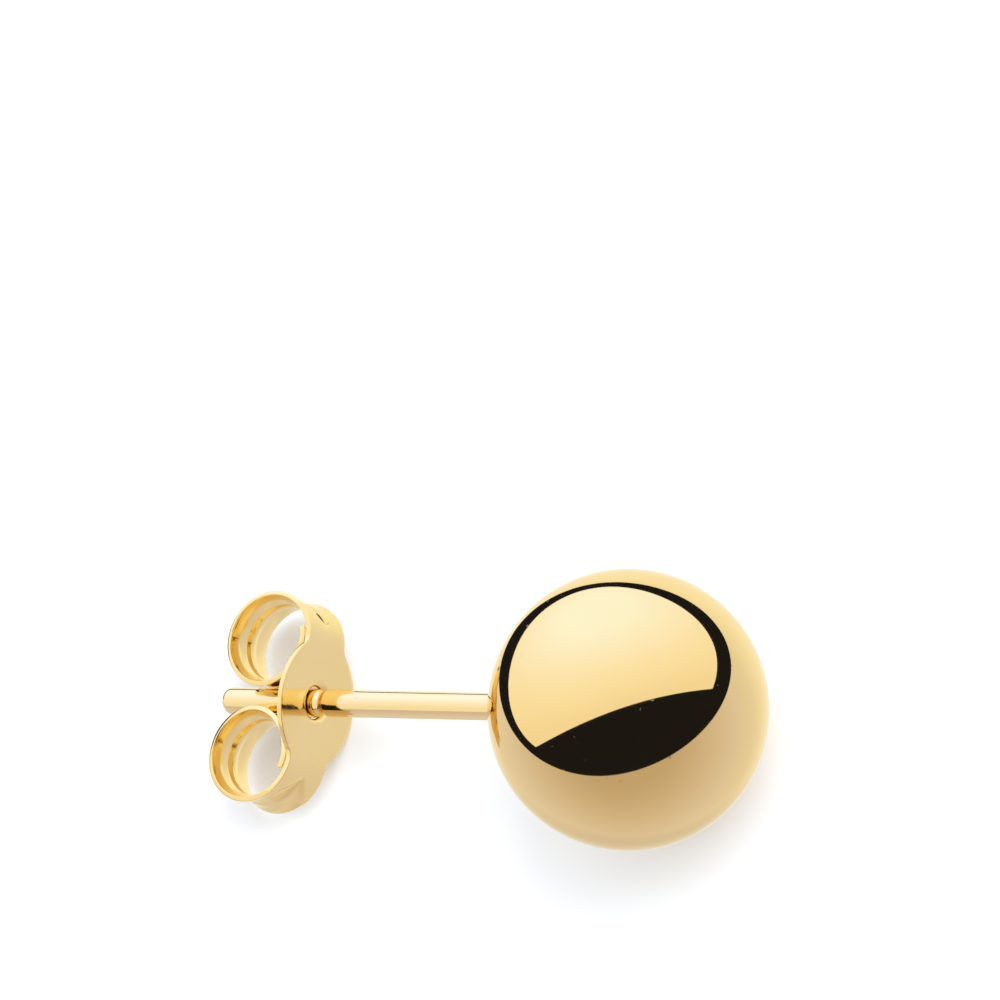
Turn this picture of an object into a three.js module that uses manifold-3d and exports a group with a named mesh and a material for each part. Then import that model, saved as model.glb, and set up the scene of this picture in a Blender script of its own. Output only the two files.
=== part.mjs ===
// Ball stud earring with a butterfly clutch, lying on its side on a flat surface: the ball and the edge of
// one of the clutch's wings touch it.
// Millimetres, +Z up. +X runs along the post towards the ball, and the origin is on the surface,
// under the middle of the object.

import * as THREE from 'three';
import { mergeVertices } from 'three/addons/utils/BufferGeometryUtils.js';
import Module from 'manifold-3d';

// Ball and post
const BALL_DIAMETER = 8.0;
const BALL_WALL = 0.2; // the ball is a hollow shell
const VENT_DIAMETER = 0.5; // hole in the shell, below the post
const VENT_ANGLE = 18; // degrees from the post round the back of the ball
const POST_DIAMETER = 0.8;
const POST_LENGTH = 10.6; // from the back of the ball to the tip
const SOLDER_FILLET = 0.2; // radius of the solder where the post meets the ball
const TIP_ROUNDING = 0.28; // radius round the edge of the tip
const GROOVE_FROM_TIP = 3.67; // to the middle of the friction groove
const GROOVE_WIDTH = 0.36;
const GROOVE_DEPTH = 0.06;

// Butterfly clutch, pressed and curled from one strip of sheet
const SHEET = 0.15; // thickness
const PLATE_FROM_BALL = 7.2; // from the back of the ball to the plate's front face
const PLATE_WIDTH = 3.4; // across the wings
const PLATE_HEIGHT = 3.74; // of the oval that the wings belong to
const STRIP_WIDTH = 1.66; // across a scroll
const NOTCH_BLEND = 0.2; // how softly the wings run into the strip
const SCROLL_DEPTH = 3.08; // from the plate's front face to the rear of a scroll
const SCROLL_HEIGHT = 2.92;
const SCROLL_SPACING = 3.44; // between the middles of the two scrolls
const SCROLL_SWEEP = 380; // degrees from the plate round to the strip's end
const TUCK_START = 250; // degrees where the strip starts to tuck in behind the plate
const TUCK_SPAN = 100; // degrees over which it tucks in
const TUCK_GAP = 0.06; // between the tucked end and the plate's back
const CHANNEL_WIDTH = 1.04; // pressed channel that takes the post
const CHANNEL_START = 8; // degrees where the channel begins to show
const CHANNEL_SPAN = 42; // degrees over which it gets to its full depth
const GRIP_GAP = 0.05; // between a channel and the post
const HOLE_DIAMETER = 0.92;
const COUNTERSINK_DIAMETER = 1.1;
const COLLAR_LENGTH = 0.34; // from the plate's front face to the end of the drawn hole

// Fineness of the round shapes
const ROUND_SIDES = 48;
const BALL_STEP = 7.5; // degrees
const CAVITY_STEP = 10; // degrees
const VENT_SIDES = 12;
const SCROLL_STEP = 10; // degrees
const EDGE_STEP = 25; // degrees, on fillets and rounded edges
const PLATE_STEPS = 9;
const CHANNEL_STEPS = 6;
const MERGE_DISTANCE = 1e-4;

const BALL_RADIUS = BALL_DIAMETER / 2;
const POST_RADIUS = POST_DIAMETER / 2;
const SCROLL_ACROSS = SCROLL_DEPTH / 2;
const SCROLL_UP = SCROLL_HEIGHT / 2;
const SCROLL_CENTRE = SCROLL_SPACING / 2;
const CHANNEL_DEPTH = POST_RADIUS + GRIP_GAP - (SCROLL_CENTRE - SCROLL_UP);

const GOLD = new THREE.Color(0.95, 0.76, 0.36);
const studGold = new THREE.MeshStandardMaterial({ color: GOLD, metalness: 1, roughness: 0.06 });
const clutchGold = new THREE.MeshStandardMaterial({ color: GOLD, metalness: 1, roughness: 0.12 });

const wasm = await Module();
wasm.setup();

const radians = THREE.MathUtils.degToRad;
const ramp = (value, start, span) => THREE.MathUtils.smoothstep(value, start, start + span);

// Points on an arc about (cx, cy), from one angle to another in degrees.
function arc(cx, cy, radius, from, to, step) {
  const count = Math.max(1, Math.ceil(Math.abs(to - from) / step));
  const points = [];
  for (let i = 0; i <= count; i += 1) {
    const angle = radians(from + ((to - from) * i) / count);
    points.push(new THREE.Vector2(cx + radius * Math.cos(angle), cy + radius * Math.sin(angle)));
  }
  return points;
}

// Profile of the ball and post about the post's axis: the radius out, and y along the axis with the ball's
// centre at 0 and the tip below. The fillet's circle touches both the ball and the post.
function studProfile() {
  const tip = -(BALL_RADIUS + POST_LENGTH);
  const filletOut = POST_RADIUS + SOLDER_FILLET;
  const filletDown = -Math.sqrt((BALL_RADIUS + SOLDER_FILLET) ** 2 - filletOut ** 2);
  const meet = THREE.MathUtils.radToDeg(Math.atan2(filletDown, filletOut));
  const groove = tip + GROOVE_FROM_TIP;
  const tipEdge = POST_RADIUS - TIP_ROUNDING;
  const ball = arc(0, 0, BALL_RADIUS, meet, 90, BALL_STEP);
  ball[ball.length - 1].x = 0;
  return [
    new THREE.Vector2(0, tip),
    ...arc(tipEdge, tip + TIP_ROUNDING, TIP_ROUNDING, -90, 0, EDGE_STEP),
    new THREE.Vector2(POST_RADIUS, groove - GROOVE_WIDTH / 2),
    new THREE.Vector2(POST_RADIUS - GROOVE_DEPTH, groove - GROOVE_WIDTH / 4),
    new THREE.Vector2(POST_RADIUS - GROOVE_DEPTH, groove + GROOVE_WIDTH / 4),
    new THREE.Vector2(POST_RADIUS, groove + GROOVE_WIDTH / 2),
    ...arc(filletOut, filletDown, SOLDER_FILLET, 180, meet + 180, EDGE_STEP),
    ...ball.slice(1),
  ];
}

// Half the strip's width at a distance along it from the post: the wings' oval, running softly into the
// even strip.
function halfWidth(distance) {
  const along = Math.min(1, distance / (PLATE_HEIGHT / 2));
  const wing = (PLATE_WIDTH / 2) * Math.sqrt(1 - along ** 2);
  const strip = STRIP_WIDTH / 2;
  return (wing + strip + Math.hypot(wing - strip, NOTCH_BLEND)) / 2;
}

// One section of the strip at an angle round the upper scroll: its middle, which way its outside faces,
// half its width, and how much of the channel it has.
function scrollSection(degrees) {
  const middle = (at) => {
    const inset = SHEET / 2 + (SHEET + TUCK_GAP) * ramp(at, TUCK_START, TUCK_SPAN);
    const angle = radians(at);
    const x = -SCROLL_ACROSS + (SCROLL_ACROSS - inset) * Math.cos(angle);
    const z = SCROLL_CENTRE + (SCROLL_UP - inset) * Math.sin(angle);
    return new THREE.Vector2(x, z);
  };
  const nearby = 0.5;
  const along = middle(degrees + nearby).sub(middle(degrees - nearby)).normalize();
  return {
    middle: middle(degrees),
    outside: new THREE.Vector2(along.y, -along.x),
    half: halfWidth(SCROLL_CENTRE + SCROLL_UP * radians(degrees)),
    channel: ramp(degrees, CHANNEL_START, CHANNEL_SPAN),
  };
}

// Height above the post of one of the plate's sections. The first stands off the post, so that each wing's
// edge is straight where it is widest.
function plateHeight(step) {
  const bendAngle = Math.asin(SCROLL_CENTRE / (PLATE_HEIGHT / 2));
  return (PLATE_HEIGHT / 2) * Math.sin((bendAngle * step) / PLATE_STEPS);
}

// One section of the flat plate at a height above the post.
function plateSection(z) {
  return {
    middle: new THREE.Vector2(-SHEET / 2, z),
    outside: new THREE.Vector2(1, 0),
    half: halfWidth(z),
    channel: 0,
  };
}

// The same section below the post.
function mirrored(section) {
  return {
    ...section,
    middle: new THREE.Vector2(section.middle.x, -section.middle.y),
    outside: new THREE.Vector2(section.outside.x, -section.outside.y),
  };
}

// Every section, from the end of the lower scroll across the plate to the end of the upper one.
function stripSections() {
  const upper = [];
  for (let i = 1; i < PLATE_STEPS; i += 1) {
    upper.push(plateSection(plateHeight(i)));
  }
  for (let degrees = 0; degrees <= SCROLL_SWEEP; degrees += SCROLL_STEP) {
    upper.push(scrollSection(degrees));
  }
  const lower = upper.map(mirrored).reverse();
  return [...lower, ...upper];
}

// Where the sheet is cut across its width: both edges, and steps across the channel.
function stripColumns(half) {
  const columns = [-half];
  for (let i = 0; i <= CHANNEL_STEPS; i += 1) {
    columns.push(CHANNEL_WIDTH * (i / CHANNEL_STEPS - 0.5));
  }
  return [...columns, half];
}

const channelDepth = (y) => CHANNEL_DEPTH * Math.cos((Math.PI * y) / CHANNEL_WIDTH) ** 2;

// The curled sheet as one closed mesh: an outer and an inner face, closed along its edges and ends.
function sheetGeometry() {
  const sections = stripSections();
  const positions = [];
  for (const { middle, outside, half, channel } of sections) {
    for (const side of [1, -1]) {
      for (const y of stripColumns(half)) {
        const pressed = Math.abs(y) < CHANNEL_WIDTH / 2 ? channel * channelDepth(y) : 0;
        const out = (side * SHEET) / 2 - pressed;
        positions.push(middle.x + outside.x * out, y, middle.y + outside.y * out);
      }
    }
  }
  const across = CHANNEL_STEPS + 3;
  const outer = (row, column) => row * 2 * across + column;
  const inner = (row, column) => outer(row, column) + across;
  const index = [];
  const quad = (a, b, c, d) => index.push(a, b, c, a, c, d);
  const lastRow = sections.length - 1;
  const lastColumn = across - 1;
  for (let i = 0; i < lastRow; i += 1) {
    for (let j = 0; j < lastColumn; j += 1) {
      quad(outer(i, j), outer(i, j + 1), outer(i + 1, j + 1), outer(i + 1, j));
      quad(inner(i, j), inner(i + 1, j), inner(i + 1, j + 1), inner(i, j + 1));
    }
    quad(outer(i, 0), outer(i + 1, 0), inner(i + 1, 0), inner(i, 0));
    quad(outer(i, lastColumn), inner(i, lastColumn), inner(i + 1, lastColumn), outer(i + 1, lastColumn));
  }
  for (let j = 0; j < lastColumn; j += 1) {
    quad(outer(0, j), inner(0, j), inner(0, j + 1), outer(0, j + 1));
    quad(outer(lastRow, j), outer(lastRow, j + 1), inner(lastRow, j + 1), inner(lastRow, j));
  }
  const geometry = new THREE.BufferGeometry();
  geometry.setAttribute('position', new THREE.Float32BufferAttribute(positions, 3));
  geometry.setIndex(index);
  return geometry;
}

// A shape turned about the post's axis, which is +X, from points of radius and place along the axis.
function turned(points) {
  return new THREE.LatheGeometry(points, ROUND_SIDES).rotateZ(-Math.PI / 2);
}

// The metal of the drawn hole: flush with the plate in front, funnelled to the hole, with a short collar
// behind.
function collarGeometry() {
  const hole = HOLE_DIAMETER / 2;
  const mouth = COUNTERSINK_DIAMETER / 2;
  const funnel = mouth - hole;
  const profile = [
    new THREE.Vector2(hole, -COLLAR_LENGTH),
    new THREE.Vector2(hole + SHEET, -COLLAR_LENGTH),
    new THREE.Vector2(hole + SHEET, -SHEET),
    new THREE.Vector2(mouth + SHEET, -SHEET / 2),
    new THREE.Vector2(mouth + SHEET / 2, 0),
    ...arc(mouth, -funnel, funnel, 90, 180, EDGE_STEP),
  ];
  return turned([...profile, profile[0].clone()]);
}

function boreGeometry() {
  const radius = COUNTERSINK_DIAMETER / 2;
  const points = [[0, -SHEET * 2], [radius, -SHEET * 2], [radius, SHEET], [0, SHEET]];
  return turned(points.map(([out, along]) => new THREE.Vector2(out, along)));
}

function toManifold(geometry) {
  const bare = geometry.clone();
  bare.deleteAttribute('normal');
  bare.deleteAttribute('uv');
  const merged = mergeVertices(bare, MERGE_DISTANCE);
  const triVerts = [];
  const corner = merged.index.array;
  for (let i = 0; i < corner.length; i += 3) {
    const [a, b, c] = corner.slice(i, i + 3);
    if (a !== b && b !== c && c !== a) {
      triVerts.push(a, b, c);
    }
  }
  return new wasm.Manifold(new wasm.Mesh({
    numProp: 3,
    vertProperties: new Float32Array(merged.attributes.position.array),
    triVerts: new Uint32Array(triVerts),
  }));
}

function toGeometry(solid) {
  const { numProp, vertProperties, triVerts } = solid.getMesh();
  const geometry = new THREE.BufferGeometry();
  geometry.setAttribute('position', new THREE.Float32BufferAttribute(vertProperties, numProp));
  geometry.setIndex([...triVerts]);
  return geometry;
}

// The room inside the ball.
function cavityGeometry() {
  const profile = arc(0, 0, BALL_RADIUS - BALL_WALL, -90, 90, CAVITY_STEP);
  profile[0].x = 0;
  profile[profile.length - 1].x = 0;
  return turned(profile);
}

// A short pin straight through the shell, where the vent hole is.
function ventGeometry() {
  const angle = radians(VENT_ANGLE);
  const out = BALL_RADIUS - BALL_WALL / 2;
  const pin = new THREE.CylinderGeometry(VENT_DIAMETER / 2, VENT_DIAMETER / 2, BALL_WALL * 4, VENT_SIDES);
  pin.rotateZ(Math.PI / 2 - angle);
  return pin.translate(-out * Math.cos(angle), out * Math.sin(angle), 0);
}

// The ball with its post, with the ball's centre at the origin.
function ballStud() {
  const hollow = toManifold(turned(studProfile())).subtract(toManifold(cavityGeometry()));
  const solid = hollow.subtract(toManifold(ventGeometry()));
  const mesh = new THREE.Mesh(toGeometry(solid), studGold);
  mesh.name = 'ball_stud';
  return mesh;
}

// The clutch, with its plate's front face across the post at x = 0.
function butterflyClutch() {
  const drilled = toManifold(sheetGeometry()).subtract(toManifold(boreGeometry()));
  const solid = drilled.add(toManifold(collarGeometry()));
  const mesh = new THREE.Mesh(toGeometry(solid), clutchGold);
  mesh.name = 'butterfly_clutch';
  return mesh;
}

// The post's slope when the ball and the rear edge of a wing both touch the surface.
function restingSlope() {
  const behind = BALL_RADIUS + PLATE_FROM_BALL + SHEET;
  const wing = halfWidth(plateHeight(1));
  return Math.asin(BALL_RADIUS / Math.hypot(behind, wing)) - Math.atan2(wing, behind);
}

const stud = ballStud();
const clutch = butterflyClutch();
clutch.position.x = -(BALL_RADIUS + PLATE_FROM_BALL);

const lying = new THREE.Group();
lying.add(stud, clutch);
lying.rotation.set(-Math.PI / 2, -restingSlope(), 0, 'YXZ');

const earring = new THREE.Group();
earring.add(lying);
const box = new THREE.Box3().setFromObject(earring, true);
const middle = box.getCenter(new THREE.Vector3());
lying.position.set(-middle.x, -middle.y, -box.min.z);

export default earring;
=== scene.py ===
"""A polished gold ball stud earring with its butterfly clutch, lying on its side on a pale table."""

import math

import bmesh
import bpy
from mathutils import Matrix, Vector


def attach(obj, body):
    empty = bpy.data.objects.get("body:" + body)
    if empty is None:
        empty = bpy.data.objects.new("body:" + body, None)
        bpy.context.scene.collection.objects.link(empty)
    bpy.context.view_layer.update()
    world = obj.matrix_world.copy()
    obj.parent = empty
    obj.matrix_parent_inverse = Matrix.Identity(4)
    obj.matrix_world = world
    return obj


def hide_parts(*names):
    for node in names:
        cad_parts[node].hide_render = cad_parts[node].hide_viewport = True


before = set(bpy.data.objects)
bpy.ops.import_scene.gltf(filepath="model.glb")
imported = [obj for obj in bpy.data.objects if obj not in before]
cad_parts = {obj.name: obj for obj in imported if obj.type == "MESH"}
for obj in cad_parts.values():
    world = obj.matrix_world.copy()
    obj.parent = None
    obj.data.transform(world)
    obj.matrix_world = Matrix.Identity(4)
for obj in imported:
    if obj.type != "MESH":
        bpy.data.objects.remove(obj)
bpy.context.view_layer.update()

MM = 0.001

# Ball and post, in millimetres and degrees. The drill's length is in walls, and the lip is the width of the
# groove's wave for each width of groove.
BALL_RADIUS = 4.0
BALL_WALL = 0.2
VENT_RADIUS = 0.25
VENT_ANGLE = 18.0
VENT_DRILL = 4.0
POST_RADIUS = 0.4
POST_LENGTH = 10.6
SOLDER_FILLET = 0.2
TIP_ROUNDING = 0.28
GROOVE_FROM_TIP = 3.67
GROOVE_WIDTH = 0.36
GROOVE_DEPTH = 0.06
GROOVE_LIP = 1.125
WIRE_BLEND = 0.35

# How finely the ball and post are turned
STUD_SIDES = 192
BALL_STEP = 1.8
CORNER_STEP = 6.0
SHANK_STEPS = 6
GROOVE_STEPS = 16
NECK_STEPS = 16
HOLLOW_SIDES = 48
HOLLOW_RINGS = 24
VENT_SIDES = 24
STUD_WELD = 1e-4
STUD_CREASE = 40.0

# Butterfly clutch, in millimetres and degrees. The flatness is a power, and the tip a share of the width.
SHEET = 0.15
EDGE_ROUNDING = 0.035
PLATE_FROM_BALL = 7.2
PLATE_WIDTH = 3.4
PLATE_HEIGHT = 3.74
STRIP_WIDTH = 1.66
NOTCH_BLEND = 0.2
SCROLL_DEPTH = 3.08
SCROLL_HEIGHT = 2.92
SCROLL_SPACING = 3.44
SCROLL_SWEEP = 380.0
TUCK_START = 250.0
TUCK_SPAN = 100.0
TUCK_GAP = 0.06
DISH_WIDTH = 1.7
DISH_DEPTH = 0.12
DISH_FLATNESS = 3.0
CHANNEL_WIDTH = 0.5
CHANNEL_DEPTH = 0.07
CHANNEL_START = 20.0
CHANNEL_SPAN = 34.0
CHANNEL_TIP = 0.15
HOLE_RADIUS = 0.46
HOLE_MOUTH = 0.65
COLLAR_LENGTH = 0.34

# How finely the strip is divided
STRIP_COLUMNS = 40
STRIP_STEP = 0.045
PLATE_REACH = 1.5
PLATE_ROWS = 40
PLATE_RINGS = 9
COLLAR_ROWS = 4
BEND_ROWS = 10
MOUTH_MARGIN = 0.06
EDGE_SEGMENTS = 3
EDGE_ANGLE = 50.0
STRIP_WELD = 1e-5
CLUTCH_CREASE = 60.0

# Gold finishes: colours, roughness, grains to the metre, and the height of the surface's waves in metres
STUD_SURFACE = {
    "Gold": (0.922, 0.692, 0.296, 1),
    "Deep Gold": (0.912, 0.678, 0.285, 1),
    "Polish": 0.04,
    "Haze": 0.012,
    "Grains": 800.0,
    "Hairlines": 0.3,
}
STUD_WAVE = 2e-6
POST_WIRE = {"Gold": (0.94, 0.735, 0.36, 1), "Polish": 0.07}
# The clutch's gold is lighter than the stud's. This is painted light: it stands in for the brighter lit table
# that the clutch mirrors, where the ball mirrors its own shadow.
CLUTCH_SURFACE = {
    "Gold": (0.96, 0.737, 0.312, 1),
    "Deep Gold": (0.95, 0.719, 0.289, 1),
    "Polish": 0.09,
    "Haze": 0.03,
    "Grains": 2000.0,
    "Hairlines": 0.6,
}
CLUTCH_WAVE = 1.2e-5
GOLD_EDGE = (1.0, 0.95, 0.85, 1)

# What the gold shows close to. Each pattern has a count for each grain, and its ramp is a start and a span.
SLOW_CHANGE = {"per grain": 0.35, "detail": 2.0, "ramp": (0.35, 0.35)}
HAZE_CLOUD = {"per grain": 1.0, "detail": 5.0, "ramp": (0.35, 0.4)}
HAIRLINE = {"per grain": 2.2, "detail": 6.0, "ramp": (0.56, 0.16)}
HAIRLINE_TURN = (0.5, 0.35, 0.9)
HAIRLINE_STRETCH = (1, 14, 14)
HAIRLINE_ROUGHNESS = 0.06
HAIRLINE_DEPTH = 0.03
DULL_SPECK = {"per grain": 9.0, "detail": 0.0, "ramp": (0.8, 0.06)}
SPECK_ROUGHNESS = 0.2
SPECK_DEPTH = 0.02

# How the earring lies and where the camera stands. The view angles say how the camera sees the clutch.
WING_ON_TABLE = 1.6972
BALL_ALONG = 5.1591
VIEW_OFF_POST = math.radians(54.0)
VIEW_TILT = math.radians(-1.23)
VIEW_ROLL = math.radians(12.5)
CAMERA_DISTANCE = 0.22
CAMERA_SENSOR = 36.0
CAMERA_NEAR = 0.001
CAMERA_FAR = 20.0
PIXELS_PER_MM = 35.3
FRAME_PIXELS = 1000.0
BALL_IN_FRAME = (628.3, 709.6)

# The room, table and lamp, in metres, with the lamp's direction as right, up and back of the ball
ROOM_LIGHT = (1.16, 1.22, 1.3, 1)
STUDIO_BLACK = (0.0125, 0.0126, 0.019, 1)
BACKDROP = (1, 1, 1, 1)
TABLE_HALF = 2.0
TABLE_DROP = 2e-5
TABLE_WHITE = (0.9, 0.9, 0.9, 1)
TABLE_ROUGHNESS = 0.9
LAMP_FROM = (0.2, 0.62, 0.76)
LAMP_DISTANCE = 0.5
LAMP_SIZE = 0.5
LAMP_POWER = 1.4

# The studio cards, as the ball mirrors them: a paper sweep all round its rim, a large softbox on its upper
# half and a black flag close to the ball, which draws the dark ring between them. Each edge is an oval on the
# ball's face, in ball radii from its middle, with a slight three-cornered swell. Angles here are in radians.
SWEEP_EDGE = {
    "across": -0.109,
    "up": 0.226,
    "length": 0.827,
    "height": 0.678,
    "turn": 0.207,
    "swell": 0.021,
    "corner": -0.027,
}
SOFTBOX_EDGE = {
    "across": -0.133,
    "up": 0.248,
    "length": 0.75,
    "height": 0.609,
    "turn": 0.304,
    "swell": 0.032,
    "corner": -2.403,
}
SOFTBOX_FRONT = {"up": 0.028, "slope": 0.32, "bow": -0.198}
SOFTBOX_MIDDLE = (-0.15, 0.42)
CARD_DISTANCE = 0.3
CARD_SIDES = 144
CARD_ROWS = 16
FLAG_DISTANCE = 0.003

# Sides of the ball's face, in degrees, where the softbox is let out to the sweep, with the share of the way.
# A side fades from full to none between two angles off it.
SOFTBOX_LET_OUT = ((218, 1.0), (2, 1.0), (290, 0.25))
SIDE_FULL = math.cos(math.radians(25.84))
SIDE_NONE = math.cos(math.radians(60.0))

# The light of the cards along one direction, right, up and back of the ball, from -1 on the far side to 1
SWEEP_ALONG = (0.115, 0.376, -0.919)
SWEEP_GLOW = 1.2
# The sweep's glow stands in for the lit paper. Its darker low end, most from -0.87 to -0.75, is painted
# shadow: the ball's own shadow on the table, as the ball mirrors it.
SWEEP_SHADES = (
    (-0.94, (1.042, 1.066, 1.192)),
    (-0.87, (0.594, 0.516, 0.5)),
    (-0.75, (0.594, 0.516, 0.5)),
    (-0.25, (0.708, 0.648, 0.731)),
    (0.2, (0.786, 0.769, 0.942)),
    (0.6, (0.865, 0.863, 0.955)),
    (0.92, (1.031, 1.066, 1.051)),
)
# Painted shadow: the sweep is dimmer toward the table under the ball. This stands in for the ball's own
# shadow there, as the ball mirrors it.
SWEEP_PAINTED_SHADOW = {"toward": (0.0, -0.45, -0.893), "ramp": (0.85, 0.13), "share": 0.14}
SOFTBOX_ALONG = (-0.303, 0.952, -0.035)
SOFTBOX_GLOW = 2.0
SOFTBOX_SHADES = (
    (0.05, (0.99, 0.956, 0.949)),
    (0.3, (1.042, 1.044, 1.077)),
    (0.56, (1.063, 1.099, 1.308)),
    (0.81, (1.073, 1.209, 1.679)),
    (0.96, (1.073, 1.297, 1.961)),
)


class Term:
    """A number that a node tree works out. Arithmetic on it adds Math nodes to the tree."""

    def __init__(self, tree, socket):
        self.tree = tree
        self.socket = socket

    def does(self, operation, *others):
        step = node(self.tree, "ShaderNodeMath", operation=operation)
        for socket, value in zip(step.inputs, (self, *others)):
            feed(self.tree, socket, value)
        return Term(self.tree, step.outputs[0])

    def held(self, low, high):
        return self.does("MAXIMUM", low).does("MINIMUM", high)

    def ramp(self, start, span):
        """0 up to start, 1 past start + span, and a smooth rise between."""
        rise = node(
            self.tree,
            "ShaderNodeMapRange",
            {"Value": self, "From Min": start, "From Max": start + span},
            interpolation_type="SMOOTHSTEP",
        )
        return Term(self.tree, rise.outputs["Result"])

    def __add__(self, other):
        return self.does("ADD", other)

    __radd__ = __add__

    def __sub__(self, other):
        return self.does("SUBTRACT", other)

    def __rsub__(self, other):
        return self.does("MULTIPLY_ADD", -1.0, other)

    def __mul__(self, other):
        return self.does("MULTIPLY", other)

    __rmul__ = __mul__

    def __truediv__(self, other):
        return self.does("DIVIDE", other)


def feed(tree, socket, value):
    """Link a Term or a socket into an input, or set the input to a plain value."""
    if isinstance(value, Term):
        tree.links.new(value.socket, socket)
    elif isinstance(value, bpy.types.NodeSocket):
        tree.links.new(value, socket)
    else:
        socket.default_value = value


def node(tree, kind, values=None, **settings):
    """A new node with its settings made and its named or numbered inputs fed. Returns it."""
    made = tree.nodes.new(kind)
    for name, setting in settings.items():
        setattr(made, name, setting)
    for key, value in (values or {}).items():
        feed(tree, made.inputs[key], value)
    return made


def combined(tree, x, y, z):
    return node(tree, "ShaderNodeCombineXYZ", {0: x, 1: y, 2: z}).outputs[0]


def separated(tree, vector):
    parts = node(tree, "ShaderNodeSeparateXYZ", {0: vector})
    return [Term(tree, socket) for socket in parts.outputs]


def blended(tree, share, colour, other):
    """One colour turning into another. A and B of a colour mix are its inputs 6 and 7, and its output 2."""
    mix = node(tree, "ShaderNodeMix", {"Factor": share, 6: colour, 7: other}, data_type="RGBA")
    return mix.outputs[2]


def shaping_tree(name, sizes):
    """An empty Geometry Nodes tree with a geometry, named sizes and a finish as inputs. Returns the tree, its
    input geometry, its sizes as Terms by name, and a function that closes the tree with a shape."""
    tree = bpy.data.node_groups.new(name, "GeometryNodeTree")
    tree.is_modifier = True
    sockets = tree.interface
    sockets.new_socket("Geometry", in_out="OUTPUT", socket_type="NodeSocketGeometry")
    sockets.new_socket("Geometry", in_out="INPUT", socket_type="NodeSocketGeometry")
    for label, value in sizes.items():
        kind = "NodeSocketInt" if isinstance(value, int) else "NodeSocketFloat"
        sockets.new_socket(label, in_out="INPUT", socket_type=kind)
    sockets.new_socket("Finish", in_out="INPUT", socket_type="NodeSocketMaterial")
    given = node(tree, "NodeGroupInput")

    def close(shape):
        smooth = node(tree, "GeometryNodeSetShadeSmooth", {"Geometry": shape})
        real = node(tree, "GeometryNodeRealizeInstances", {0: smooth.outputs[0]})
        finish = given.outputs["Finish"]
        dressed = node(tree, "GeometryNodeSetMaterial", {"Geometry": real.outputs[0], "Material": finish})
        node(tree, "NodeGroupOutput", {0: dressed.outputs[0]})

    terms = {label: Term(tree, given.outputs[label]) for label in sizes}
    return tree, given.outputs["Geometry"], terms, close


def use_tree(piece, tree, sizes, finish):
    """Put a shaping tree on a piece and set its inputs by their identifiers."""
    step = piece.modifiers.new(tree.name, "NODES")
    step.node_group = tree
    for item in tree.interface.items_tree:
        if item.in_out == "INPUT" and item.name in sizes:
            step[item.identifier] = sizes[item.name]
        elif item.in_out == "INPUT" and item.name == "Finish":
            step[item.identifier] = finish


def new_piece(name, points, edges=(), faces=()):
    mesh = bpy.data.meshes.new(name)
    mesh.from_pydata(points, edges, faces)
    piece = bpy.data.objects.new(name, mesh)
    bpy.context.scene.collection.objects.link(piece)
    return piece


def settle(piece, placement, crease):
    """Turn the piece's modifiers into a plain mesh, scaled to metres and put in its place."""
    graph = bpy.context.evaluated_depsgraph_get()
    mesh = bpy.data.meshes.new_from_object(piece.evaluated_get(graph))
    piece.modifiers.clear()
    blank = piece.data
    piece.data = mesh
    bpy.data.meshes.remove(blank)
    mesh.name = piece.name
    mesh.transform(placement)
    mesh.set_sharp_from_angle(angle=math.radians(crease))
    return piece


def resting_slope():
    """The post's slope with the ball and the rear edge of a wing on the table."""
    behind = BALL_RADIUS + PLATE_FROM_BALL + SHEET
    reach = math.hypot(behind, WING_ON_TABLE)
    return math.asin(BALL_RADIUS / reach) - math.atan2(WING_ON_TABLE, behind)


def lying_frame():
    """From the stud's own frame in millimetres, with the ball's centre at 0, x towards the ball and z up the
    clutch, to the frame of the part in metres."""
    turn = Matrix.Rotation(-resting_slope(), 4, "Y") @ Matrix.Rotation(-math.pi / 2, 4, "X")
    return Matrix.Scale(MM, 4) @ Matrix.Translation((BALL_ALONG, 0, BALL_RADIUS)) @ turn


def spaced(start, end, count):
    """Evenly spaced places from start to end, with both of them."""
    return [start + (end - start) * i / count for i in range(count + 1)]


def arc(across, along, radius, start, end, step):
    """Points on an arc about a middle, from one angle to another in degrees."""
    count = max(1, math.ceil(abs(end - start) / step))
    angles = [math.radians(degrees) for degrees in spaced(start, end, count)]
    return [(along + radius * math.sin(a), across + radius * math.cos(a)) for a in angles]


def stud_profile():
    """The ball and post from tip to front: places along the post, with the ball's centre at 0, and radii."""
    tip = -(BALL_RADIUS + POST_LENGTH)
    flat = POST_RADIUS - TIP_ROUNDING
    rounded = arc(flat, tip + TIP_ROUNDING, TIP_ROUNDING, -90, 0, CORNER_STEP)
    points = [(tip, 0.0), (tip, flat / 2), *rounded]
    groove = tip + GROOVE_FROM_TIP
    shank = spaced(rounded[-1][0], groove - GROOVE_WIDTH, SHANK_STEPS)
    points += [(along, POST_RADIUS) for along in shank[1:]]
    for share in spaced(-0.5, 0.5, GROOVE_STEPS):
        fall = math.cos(math.pi * share / GROOVE_LIP) ** 2
        points.append((groove + GROOVE_WIDTH * share, POST_RADIUS - GROOVE_DEPTH * fall))
    out = POST_RADIUS + SOLDER_FILLET
    down = -math.sqrt((BALL_RADIUS + SOLDER_FILLET) ** 2 - out**2)
    meet = math.degrees(math.atan2(down, out))
    fillet = arc(out, down, SOLDER_FILLET, 180, meet + 180, CORNER_STEP)
    neck = spaced(groove + GROOVE_WIDTH, fillet[0][0], NECK_STEPS)
    points += [(along, POST_RADIUS) for along in neck[:-1]]
    ball = arc(0, 0, BALL_RADIUS, meet, 90, BALL_STEP)
    return points + fillet + ball[1:-1] + [(BALL_RADIUS, 0.0)]


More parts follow.
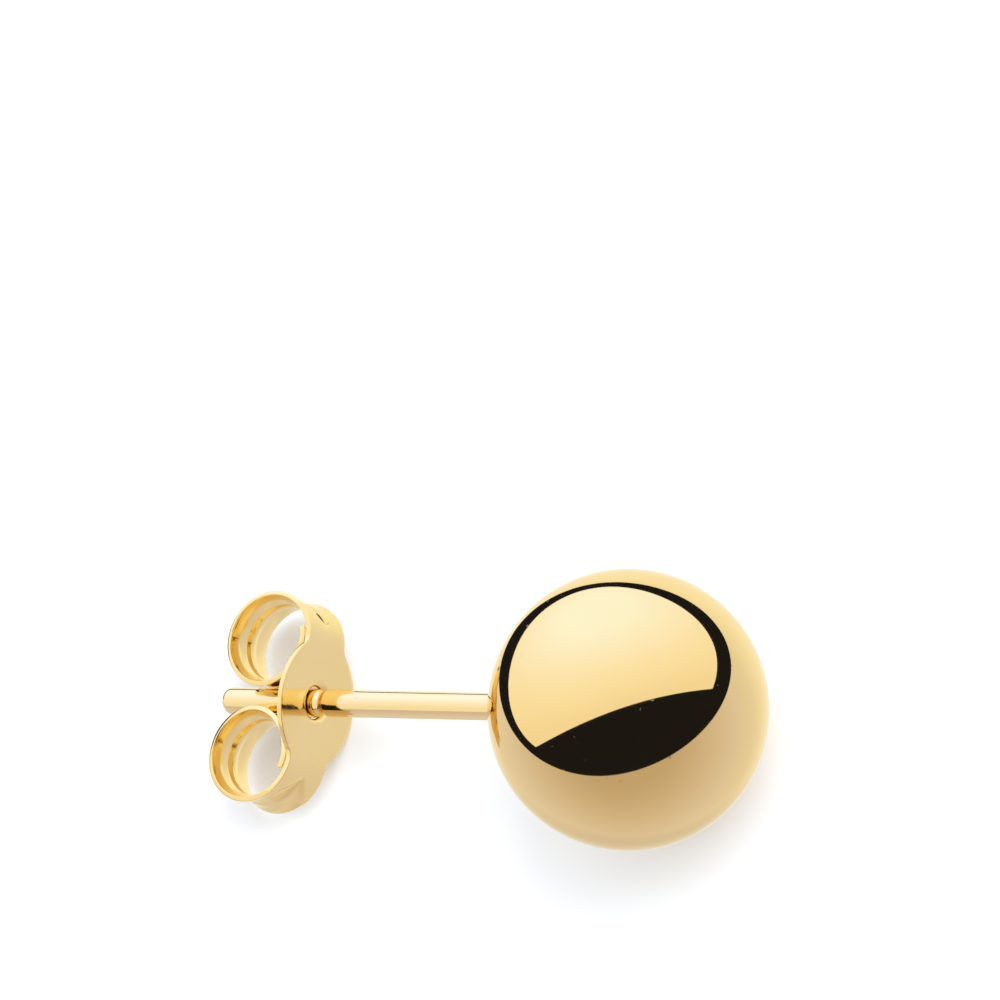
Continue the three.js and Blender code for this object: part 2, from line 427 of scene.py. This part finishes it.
def turning_tree(sizes):
    """Turn a profile about x into a closed shape, hollow out its ball and pierce the vent beside the post. A
    "post" attribute marks the wire."""
    tree, profile, size, close = shaping_tree("turn and hollow", sizes)
    around = size["Sides"] + 1.0
    count = node(tree, "GeometryNodeAttributeDomainSize", {"Geometry": profile}, component="MESH")
    rows = count.outputs["Point Count"]
    sheet = node(tree, "GeometryNodeMeshGrid", {"Vertices X": rows, "Vertices Y": around})
    index = Term(tree, node(tree, "GeometryNodeInputIndex").outputs[0])
    row = ((index + 0.5) / around).does("FLOOR")
    angle = (index - row * around) * (2 * math.pi) / size["Sides"]
    here = node(tree, "GeometryNodeInputPosition").outputs[0]
    picked = node(
        tree, "GeometryNodeSampleIndex", {"Geometry": profile, "Index": row}, data_type="FLOAT_VECTOR"
    )
    tree.links.new(here, picked.inputs["Value"])
    along, out, _ = separated(tree, picked.outputs["Value"])
    place = combined(tree, along, out * angle.does("COSINE"), out * angle.does("SINE"))
    turned = node(tree, "GeometryNodeSetPosition", {"Geometry": sheet.outputs["Mesh"], "Position": place})
    wire = (along * -1.0).ramp(size["Ball Radius"], size["Wire Blend"])
    marked = node(
        tree,
        "GeometryNodeStoreNamedAttribute",
        {"Geometry": turned.outputs[0], "Name": "post", "Value": wire},
        data_type="FLOAT",
        domain="POINT",
    )
    welded = node(
        tree, "GeometryNodeMergeByDistance", {"Geometry": marked.outputs[0], "Distance": STUD_WELD}
    )
    hollow = node(
        tree,
        "GeometryNodeMeshUVSphere",
        {"Segments": HOLLOW_SIDES, "Rings": HOLLOW_RINGS, "Radius": size["Ball Radius"] - size["Ball Wall"]},
    )
    pin = node(
        tree,
        "GeometryNodeMeshCylinder",
        {"Vertices": VENT_SIDES, "Radius": size["Vent Radius"], "Depth": size["Ball Wall"] * VENT_DRILL},
    )
    lean = size["Vent Angle"] * (math.pi / 180)
    middle = size["Ball Radius"] - size["Ball Wall"] * 0.5
    behind = middle * lean.does("COSINE") * -1.0
    drill = node(
        tree,
        "GeometryNodeTransform",
        {
            "Geometry": pin.outputs["Mesh"],
            "Translation": combined(tree, behind, middle * lean.does("SINE"), 0.0),
            "Rotation": combined(tree, math.pi / 2, 0.0, math.pi / 2 - lean),
        },
    )
    pierced = node(
        tree, "GeometryNodeMeshBoolean", {"Mesh 1": welded.outputs["Geometry"]}, operation="DIFFERENCE"
    )
    tree.links.new(hollow.outputs["Mesh"], pierced.inputs["Mesh 2"])
    tree.links.new(drill.outputs[0], pierced.inputs["Mesh 2"])
    close(pierced.outputs["Mesh"])
    return tree


def ball_and_post(finish, placement):
    """The hollow ball and its post, turned in one piece."""
    profile = [(along, out, 0.0) for along, out in stud_profile()]
    edges = [(i, i + 1) for i in range(len(profile) - 1)]
    piece = new_piece("polished_ball_and_post", profile, edges)
    sizes = {
        "Sides": STUD_SIDES,
        "Ball Radius": BALL_RADIUS,
        "Ball Wall": BALL_WALL,
        "Vent Radius": VENT_RADIUS,
        "Vent Angle": VENT_ANGLE,
        "Wire Blend": WIRE_BLEND,
    }
    use_tree(piece, turning_tree(sizes), sizes, finish)
    return settle(piece, placement, STUD_CREASE)


def half_width(reach):
    """Half the strip's width at a distance along it from the post."""
    along = min(1.0, reach / (PLATE_HEIGHT / 2))
    wing = PLATE_WIDTH / 2 * math.sqrt(1 - along**2)
    strip = STRIP_WIDTH / 2
    return (wing + strip + math.hypot(wing - strip, NOTCH_BLEND)) / 2


def drawn_bend():
    """Radius of the sheet's middle where the hole's edge is drawn back into its collar."""
    return HOLE_MOUTH - HOLE_RADIUS - SHEET / 2


def clutch_blank():
    """The strip as it is cut, flat and with its hole: rings of faces round the hole, then rows out to both
    ends."""
    collar = HOLE_MOUTH - drawn_bend() * math.pi / 2
    hole = collar - (COLLAR_LENGTH - SHEET / 2 - drawn_bend())
    end = SCROLL_SPACING / 2 + SCROLL_HEIGHT / 2 * math.radians(SCROLL_SWEEP)

    def at(across, reach):
        return Vector((0.0, across * half_width(abs(reach)), reach))

    across = spaced(-1.0, 1.0, STRIP_COLUMNS)
    down = spaced(PLATE_REACH, -PLATE_REACH, PLATE_ROWS)
    rim = [at(t, PLATE_REACH) for t in across[:-1]] + [at(1.0, s) for s in down[:-1]]
    rim += [at(-t, -PLATE_REACH) for t in across[:-1]] + [at(-1.0, -s) for s in down[:-1]]
    radii = spaced(hole, collar, COLLAR_ROWS)[:-1] + spaced(collar, HOLE_MOUTH, BEND_ROWS)
    radii.append(HOLE_MOUTH + MOUTH_MARGIN)
    rings = [[point.normalized() * radius for point in rim] for radius in radii]
    mouth = rings[-1]
    for share in spaced(0.0, 1.0, PLATE_RINGS)[1:]:
        rings.append([inner.lerp(outer, share) for inner, outer in zip(mouth, rim)])
    reaches = spaced(PLATE_REACH, end, round((end - PLATE_REACH) / STRIP_STEP))
    grids = [
        [ring + ring[:1] for ring in rings],
        [[at(t, s) for t in across] for s in reaches],
        [[at(-t, -s) for t in across] for s in reaches],
    ]
    shape = bmesh.new()
    for grid in grids:
        made = [[shape.verts.new(point) for point in line] for line in grid]
        for near, far in zip(made, made[1:]):
            for i in range(len(near) - 1):
                shape.faces.new((near[i], near[i + 1], far[i + 1], far[i]))
    bmesh.ops.remove_doubles(shape, verts=shape.verts, dist=STRIP_WELD)
    shape.normal_update()
    for face in shape.faces:
        if face.normal.x < 0:
            face.normal_flip()
    piece = new_piece("pressed_butterfly_clutch", [])
    shape.to_mesh(piece.data)
    shape.free()
    return piece


def pressing_tree(sizes):
    """Draw the hole's collar, press the channels for the post and curl both ends of the strip into
    scrolls."""
    tree, blank, size, close = shaping_tree("press and curl", sizes)
    here = node(tree, "GeometryNodeInputPosition").outputs[0]
    _, across, along = separated(tree, here)
    sheet = size["Sheet"]
    # the drawn hole
    mouth = size["Hole Mouth"]
    bend = size["Hole Bend"]
    out = (across * across + along * along).does("SQRT")
    drawn = ((mouth - out) / bend).held(0.0, math.pi / 2)
    narrowed = (out.does("MAXIMUM", mouth) - bend * drawn.does("SINE")) / out
    collar = (mouth - bend * (math.pi / 2) - out).does("MAXIMUM", 0.0)
    sunk = bend * (1.0 - drawn.does("COSINE")) + collar
    # the scroll that this point of the strip is on
    up = size["Scroll Height"] * 0.5
    deep = size["Scroll Depth"] * 0.5
    centre = size["Scroll Spacing"] * 0.5
    reach = (along * narrowed).does("ABSOLUTE")
    turned = ((reach - centre) / up).does("MAXIMUM", 0.0)
    degrees = turned * (180 / math.pi)
    tuck = degrees.ramp(size["Tuck Start"], size["Tuck Span"])
    inset = sheet * 0.5 + (sheet + size["Tuck Gap"]) * tuck
    wide = deep - inset
    tall = up - inset
    cosine = turned.does("COSINE")
    sine = turned.does("SINE")
    normal_x = tall * cosine
    normal_z = wide * sine
    length = (normal_x * normal_x + normal_z * normal_z).does("SQRT")
    # the dish of the strip, which opens from a rounded tip past the bend, and the channel that takes the post
    opening = ((degrees - size["Channel Start"]) / size["Channel Span"]).held(0.0, 1.0)
    spread = across / opening.does("MAXIMUM", size["Channel Tip"])
    side = (spread * 2.0 / size["Dish Width"]).does("ABSOLUTE").does("MINIMUM", 1.0)
    dish = 1.0 - side.does("POWER", size["Dish Flatness"])
    channel = ((spread / size["Channel Width"]).held(-0.5, 0.5) * math.pi).does("COSINE")
    pressed = dish * size["Dish Depth"] + channel * channel * size["Channel Depth"]
    pressed = pressed * opening * (2.0 - opening) / length
    x = wide * cosine - deep - normal_x * pressed - sunk
    z = reach.does("MINIMUM", centre) + tall * sine - normal_z * pressed
    place = combined(tree, x, across * narrowed, z * along.does("SIGN"))
    shaped = node(tree, "GeometryNodeSetPosition", {"Geometry": blank, "Position": place})
    close(shaped.outputs[0])
    return tree


def butterfly_clutch(finish, placement):
    """The clutch, pressed from one strip of sheet, at its place on the post."""
    piece = clutch_blank()
    sizes = {
        "Sheet": SHEET,
        "Scroll Depth": SCROLL_DEPTH,
        "Scroll Height": SCROLL_HEIGHT,
        "Scroll Spacing": SCROLL_SPACING,
        "Tuck Start": TUCK_START,
        "Tuck Span": TUCK_SPAN,
        "Tuck Gap": TUCK_GAP,
        "Dish Width": DISH_WIDTH,
        "Dish Depth": DISH_DEPTH,
        "Dish Flatness": DISH_FLATNESS,
        "Channel Width": CHANNEL_WIDTH,
        "Channel Depth": CHANNEL_DEPTH,
        "Channel Start": CHANNEL_START,
        "Channel Span": CHANNEL_SPAN,
        "Channel Tip": CHANNEL_TIP,
        "Hole Mouth": HOLE_MOUTH,
        "Hole Bend": drawn_bend(),
    }
    use_tree(piece, pressing_tree(sizes), sizes, finish)
    wall = piece.modifiers.new("sheet", "SOLIDIFY")
    wall.thickness = SHEET
    wall.offset = 0.0
    wall.use_even_offset = True
    edge = piece.modifiers.new("rounded edge", "BEVEL")
    edge.width = EDGE_ROUNDING
    edge.segments = EDGE_SEGMENTS
    edge.limit_method = "ANGLE"
    edge.angle_limit = math.radians(EDGE_ANGLE)
    edge.harden_normals = True
    on_post = Matrix.Translation((-(BALL_RADIUS + PLATE_FROM_BALL), 0, 0))
    return settle(piece, placement @ on_post, CLUTCH_CREASE)


def gold_surface_group():
    """What gold of either finish shows close to: slow changes of colour, a haze from handling, fine
    hairlines left by polishing and a few dull specks."""
    group = bpy.data.node_groups.new("gold surface", "ShaderNodeTree")
    sockets = group.interface
    sockets.new_socket("Place", in_out="INPUT", socket_type="NodeSocketVector")
    for label in ("Gold", "Deep Gold"):
        sockets.new_socket(label, in_out="INPUT", socket_type="NodeSocketColor")
    for label in ("Polish", "Haze", "Grains", "Hairlines"):
        sockets.new_socket(label, in_out="INPUT", socket_type="NodeSocketFloat")
    sockets.new_socket("Colour", in_out="OUTPUT", socket_type="NodeSocketColor")
    for label in ("Roughness", "Height"):
        sockets.new_socket(label, in_out="OUTPUT", socket_type="NodeSocketFloat")
    given = node(group, "NodeGroupInput")
    place = given.outputs["Place"]
    polish, haze, grains, hairlines = (
        Term(group, given.outputs[label]) for label in ("Polish", "Haze", "Grains", "Hairlines")
    )

    def noise(where, pattern):
        scale = grains * pattern["per grain"]
        values = {"Vector": where, "Scale": scale, "Detail": pattern["detail"]}
        return Term(group, node(group, "ShaderNodeTexNoise", values).outputs["Fac"])

    drawn_out = node(
        group,
        "ShaderNodeMapping",
        {"Vector": place, "Rotation": HAIRLINE_TURN, "Scale": HAIRLINE_STRETCH},
    )
    slow = noise(place, SLOW_CHANGE)
    deep = slow.ramp(*SLOW_CHANGE["ramp"])
    cloud = noise(place, HAZE_CLOUD).ramp(*HAZE_CLOUD["ramp"])
    line = noise(drawn_out.outputs[0], HAIRLINE).ramp(*HAIRLINE["ramp"]) * hairlines
    speck = noise(place, DULL_SPECK).ramp(*DULL_SPECK["ramp"])
    colour = blended(group, deep, given.outputs["Gold"], given.outputs["Deep Gold"])
    roughness = polish + cloud * haze + line * HAIRLINE_ROUGHNESS + speck * SPECK_ROUGHNESS
    height = slow - line * HAIRLINE_DEPTH - speck * SPECK_DEPTH
    node(group, "NodeGroupOutput", {0: colour, 1: roughness, 2: height})
    return group


def gold_finish(name, group, values, wave, wire=None):
    """A polished gold: the shared surface group feeding a metal, with its height as a faint bump. The drawn
    wire of the post may have a gold and a polish of its own."""
    finish = bpy.data.materials.new(name)
    finish.use_nodes = True
    tree = finish.node_tree
    metal = tree.nodes["Principled BSDF"]
    place = node(tree, "ShaderNodeTexCoord").outputs["Object"]
    surface = node(tree, "ShaderNodeGroup", node_tree=group)
    tree.links.new(place, surface.inputs["Place"])
    for label, value in values.items():
        surface.inputs[label].default_value = value
    colour = surface.outputs["Colour"]
    if wire:
        post = Term(tree, node(tree, "ShaderNodeAttribute", attribute_name="post").outputs["Fac"])
        polish = post * (wire["Polish"] - values["Polish"]) + values["Polish"]
        feed(tree, surface.inputs["Polish"], polish)
        colour = blended(tree, post, colour, wire["Gold"])
    height = surface.outputs["Height"]
    bump = node(tree, "ShaderNodeBump", {"Strength": 1.0, "Distance": wave, "Height": height})
    metal.inputs["Metallic"].default_value = 1.0
    metal.inputs["Specular Tint"].default_value = GOLD_EDGE
    tree.links.new(colour, metal.inputs["Base Color"])
    tree.links.new(surface.outputs["Roughness"], metal.inputs["Roughness"])
    tree.links.new(bump.outputs["Normal"], metal.inputs["Normal"])
    return finish


def camera_axes():
    """The camera's right, up and back directions in the frame of the part."""
    post = Vector((math.sin(VIEW_OFF_POST), 0, math.cos(VIEW_OFF_POST)))
    upright = Vector((0, 1, 0))
    away = upright.cross(post)
    scrolls = math.cos(VIEW_ROLL) * upright + math.sin(VIEW_ROLL) * away
    far_side = math.cos(VIEW_ROLL) * away - math.sin(VIEW_ROLL) * upright
    tilt = Matrix.Rotation(VIEW_TILT, 3, "Z")
    seen = [tilt @ post, tilt @ far_side, tilt @ scrolls]
    turn = lying_frame().to_3x3()
    own = [(turn @ Vector(axis)).normalized() for axis in ((1, 0, 0), (0, 1, 0), (0, 0, 1))]
    return [sum((axis * view[k] for axis, view in zip(own, seen)), Vector()) for k in range(3)]


def view_camera(ball, right, up, back):
    """A long lens that puts the ball at its place in the frame."""
    pixel = MM / PIXELS_PER_MM
    aside = (FRAME_PIXELS / 2 - BALL_IN_FRAME[0]) * pixel
    above = (BALL_IN_FRAME[1] - FRAME_PIXELS / 2) * pixel
    stand = ball + back * CAMERA_DISTANCE
    aim = ball + right * aside + up * above
    to_back = (stand - aim).normalized()
    to_right = (right - to_back * right.dot(to_back)).normalized()
    to_up = to_back.cross(to_right)
    lens = bpy.data.cameras.new("view_camera")
    lens.sensor_width = CAMERA_SENSOR
    lens.lens = (stand - aim).length * CAMERA_SENSOR / (FRAME_PIXELS * pixel)
    lens.clip_start = CAMERA_NEAR
    lens.clip_end = CAMERA_FAR
    camera = bpy.data.objects.new("view_camera", lens)
    camera.matrix_world = Matrix((to_right, to_up, to_back)).transposed().to_4x4()
    camera.matrix_world.translation = stand
    bpy.context.scene.collection.objects.link(camera)
    bpy.context.scene.camera = camera


def studio_room():
    """White to the camera, soft light to the table, and dark to the gold, which mirrors the cards instead."""
    room = bpy.data.worlds.new("studio_room")
    bpy.context.scene.world = room
    room.use_nodes = True
    tree = room.node_tree
    path = node(tree, "ShaderNodeLightPath")
    lit = blended(tree, path.outputs["Is Glossy Ray"], ROOM_LIGHT, STUDIO_BLACK)
    seen = blended(tree, path.outputs["Is Camera Ray"], lit, BACKDROP)
    tree.links.new(seen, tree.nodes["Background"].inputs["Color"])


def white_table():
    """The table top, a hair below the earring. The gold doesn't mirror it."""
    half = TABLE_HALF
    corners = [(-half, -half), (half, -half), (half, half), (-half, half)]
    table = new_piece("table_top", [(x, y, -TABLE_DROP) for x, y in corners], (), [(0, 1, 2, 3)])
    paint = bpy.data.materials.new("white_table")
    paint.use_nodes = True
    face = paint.node_tree.nodes["Principled BSDF"]
    face.inputs["Base Color"].default_value = TABLE_WHITE
    face.inputs["Roughness"].default_value = TABLE_ROUGHNESS
    face.inputs["Specular IOR Level"].default_value = 0.0
    table.data.materials.append(paint)
    table.visible_glossy = False


def soft_lamp(ball, axes):
    """A wide round lamp that lights the table and draws the earring's soft shadow. The gold doesn't mirror
    it."""
    away = sum((axis * share for axis, share in zip(axes, LAMP_FROM)), Vector()).normalized()
    lamp = bpy.data.lights.new("soft_lamp", "AREA")
    lamp.shape = "DISK"
    lamp.size = LAMP_SIZE
    lamp.energy = LAMP_POWER
    hung = bpy.data.objects.new("soft_lamp", lamp)
    hung.location = ball + away * LAMP_DISTANCE
    hung.rotation_euler = away.to_track_quat("Z", "Y").to_euler()
    hung.visible_glossy = False
    hung.visible_camera = False
    bpy.context.scene.collection.objects.link(hung)


def oval(edge, angle):
    """A place on an oval of the ball's face."""
    out = 1 + edge["swell"] * math.cos(3 * (angle - edge["corner"]))
    x = edge["length"] * out * math.cos(angle)
    y = edge["height"] * out * math.sin(angle)
    cosine = math.cos(edge["turn"])
    sine = math.sin(edge["turn"])
    return Vector((edge["across"] + x * cosine - y * sine, edge["up"] + x * sine + y * cosine))


def ball_rim(angle):
    return Vector((math.cos(angle), math.sin(angle)))


def sweep_edge(angle):
    return oval(SWEEP_EDGE, angle)


def softbox_edge(angle):
    """The softbox's edge, cut off along its front."""
    x, y = oval(SOFTBOX_EDGE, angle)
    front = SOFTBOX_FRONT["up"] + SOFTBOX_FRONT["slope"] * x + SOFTBOX_FRONT["bow"] * x**2
    return Vector((x, max(y, front)))


def softbox_middle(angle):
    """The point that the softbox's rows of faces start from, at every angle."""
    return Vector(SOFTBOX_MIDDLE)


def round_side(angle, side):
    """1 round one side of the ball's face, given in degrees, and 0 away from it, with a smooth fade."""
    near = math.cos(angle - math.radians(side))
    share = min(1.0, max(0.0, (near - SIDE_NONE) / (SIDE_FULL - SIDE_NONE)))
    return share * share * (3 - 2 * share)


def softbox_let_out(angle):
    """The softbox's edge behind the flag, let out to the sweep so that the clutch mirrors less black."""
    share = max(far * round_side(angle, side) for side, far in SOFTBOX_LET_OUT)
    return softbox_edge(angle).lerp(sweep_edge(angle), share)


def mirrored(x, y, distance):
    """The place, right, up and back of the ball, that the ball shows on its face at a distance from it."""
    radius = BALL_RADIUS * MM
    eye = Vector((0, 0, CAMERA_DISTANCE))
    ray = (Vector((x, y, 0)) * radius - eye).normalized()
    nearest = eye.dot(ray)
    inside = max(0.0, nearest**2 - eye.dot(eye) + radius**2)
    touch = eye - ray * (nearest + math.sqrt(inside))
    normal = touch.normalized()
    return touch + (ray - normal * 2 * ray.dot(normal)) * distance


def studio_card(name, ball, axes, distance, near, far, glow, closed=False):
    """A card that fills the ball's face between two outlines, and past the second one where it is closed.
    Only gloss sees it."""
    to_world = Matrix(axes).transposed()
    points = []
    faces = []
    for j in range(CARD_ROWS + 1):
        share = 1 - (1 - j / CARD_ROWS) ** 2
        for i in range(CARD_SIDES):
            angle = 2 * math.pi * i / CARD_SIDES
            x, y = near(angle).lerp(far(angle), share)
            points.append(ball + to_world @ mirrored(x, y, distance))
    for j in range(CARD_ROWS):
        row = j * CARD_SIDES
        above = row + CARD_SIDES
        for i in range(CARD_SIDES):
            k = (i + 1) % CARD_SIDES
            faces.append((row + i, row + k, above + k, above + i))
    if closed:
        faces.append(tuple(range(CARD_ROWS * CARD_SIDES, len(points))))
    card = new_piece(name, points, (), faces)
    card.data.materials.append(glow)
    card.visible_camera = False
    card.visible_diffuse = False
    card.visible_shadow = False
    card.visible_transmission = False


def card_glow(name):
    """A material that only glows. Returns it, its tree and its emission."""
    finish = bpy.data.materials.new(name)
    finish.use_nodes = True
    finish.cycles.emission_sampling = "NONE"
    tree = finish.node_tree
    tree.nodes.clear()
    light = node(tree, "ShaderNodeEmission")
    node(tree, "ShaderNodeOutputMaterial", {0: light.outputs[0]})
    return finish, tree, light


def flag_black():
    finish, _, light = card_glow("flag_black")
    light.inputs["Color"].default_value = STUDIO_BLACK
    return finish


def shaded_glow(name, ball, axes, along, strength, shades, painted_shadow=None):
    """Light that changes along one direction of the studio, and, where a painted shadow is given, is dimmer
    toward another.
    """
    finish, tree, light = card_glow(name)
    place = node(tree, "ShaderNodeTexCoord").outputs["Object"]
    out = node(tree, "ShaderNodeVectorMath", {0: place, 1: ball}, operation="SUBTRACT").outputs[0]

    def reach(direction):
        toward = Matrix(axes).transposed() @ Vector(direction)
        dot = node(tree, "ShaderNodeVectorMath", {0: out, 1: toward}, operation="DOT_PRODUCT")
        return Term(tree, dot.outputs["Value"]) * (1 / CARD_DISTANCE)

    ramp = node(tree, "ShaderNodeValToRGB", {0: reach(along) * 0.5 + 0.5})
    elements = ramp.color_ramp.elements
    while len(elements) < len(shades):
        elements.new(1.0)
    for element, (at, colour) in zip(elements, shades):
        element.position = at / 2 + 0.5
        element.color = (*[level / strength for level in colour], 1.0)
    tree.links.new(ramp.outputs[0], light.inputs["Color"])
    # painted shadow: the glow is dimmer toward the given direction
    if painted_shadow:
        strength = (1.0 - reach(painted_shadow["toward"]).ramp(*painted_shadow["ramp"]) * painted_shadow["share"]) * strength
    feed(tree, light.inputs["Strength"], strength)
    return finish


def studio_cards(ball, axes):
    """The cards that the gold mirrors."""
    sweep = shaded_glow("paper_sweep_glow", ball, axes, SWEEP_ALONG, SWEEP_GLOW, SWEEP_SHADES, SWEEP_PAINTED_SHADOW)
    box = shaded_glow("softbox_glow", ball, axes, SOFTBOX_ALONG, SOFTBOX_GLOW, SOFTBOX_SHADES)
    studio_card("paper_sweep", ball, axes, CARD_DISTANCE, sweep_edge, ball_rim, sweep, closed=True)
    studio_card("softbox", ball, axes, CARD_DISTANCE, softbox_middle, softbox_let_out, box)
    studio_card("black_flag", ball, axes, FLAG_DISTANCE, softbox_edge, sweep_edge, flag_black())


lying = lying_frame()
gold_surface = gold_surface_group()
stud_gold = gold_finish("polished_stud_gold", gold_surface, STUD_SURFACE, STUD_WAVE, POST_WIRE)
# the clutch's lighter gold is painted light from the table it mirrors
clutch_gold = gold_finish("pressed_clutch_gold", gold_surface, CLUTCH_SURFACE, CLUTCH_WAVE)

stud = ball_and_post(stud_gold, lying)
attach(stud, "stud")
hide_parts("ball_stud")

clutch = butterfly_clutch(clutch_gold, lying)
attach(clutch, "clutch")
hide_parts("butterfly_clutch")

ball_centre = lying @ Vector((0, 0, 0))
view_axes = camera_axes()
view_camera(ball_centre, *view_axes)
bpy.context.scene.view_settings.view_transform = "Standard"
studio_room()
white_table()
soft_lamp(ball_centre, view_axes)
studio_cards(ball_centre, view_axes)
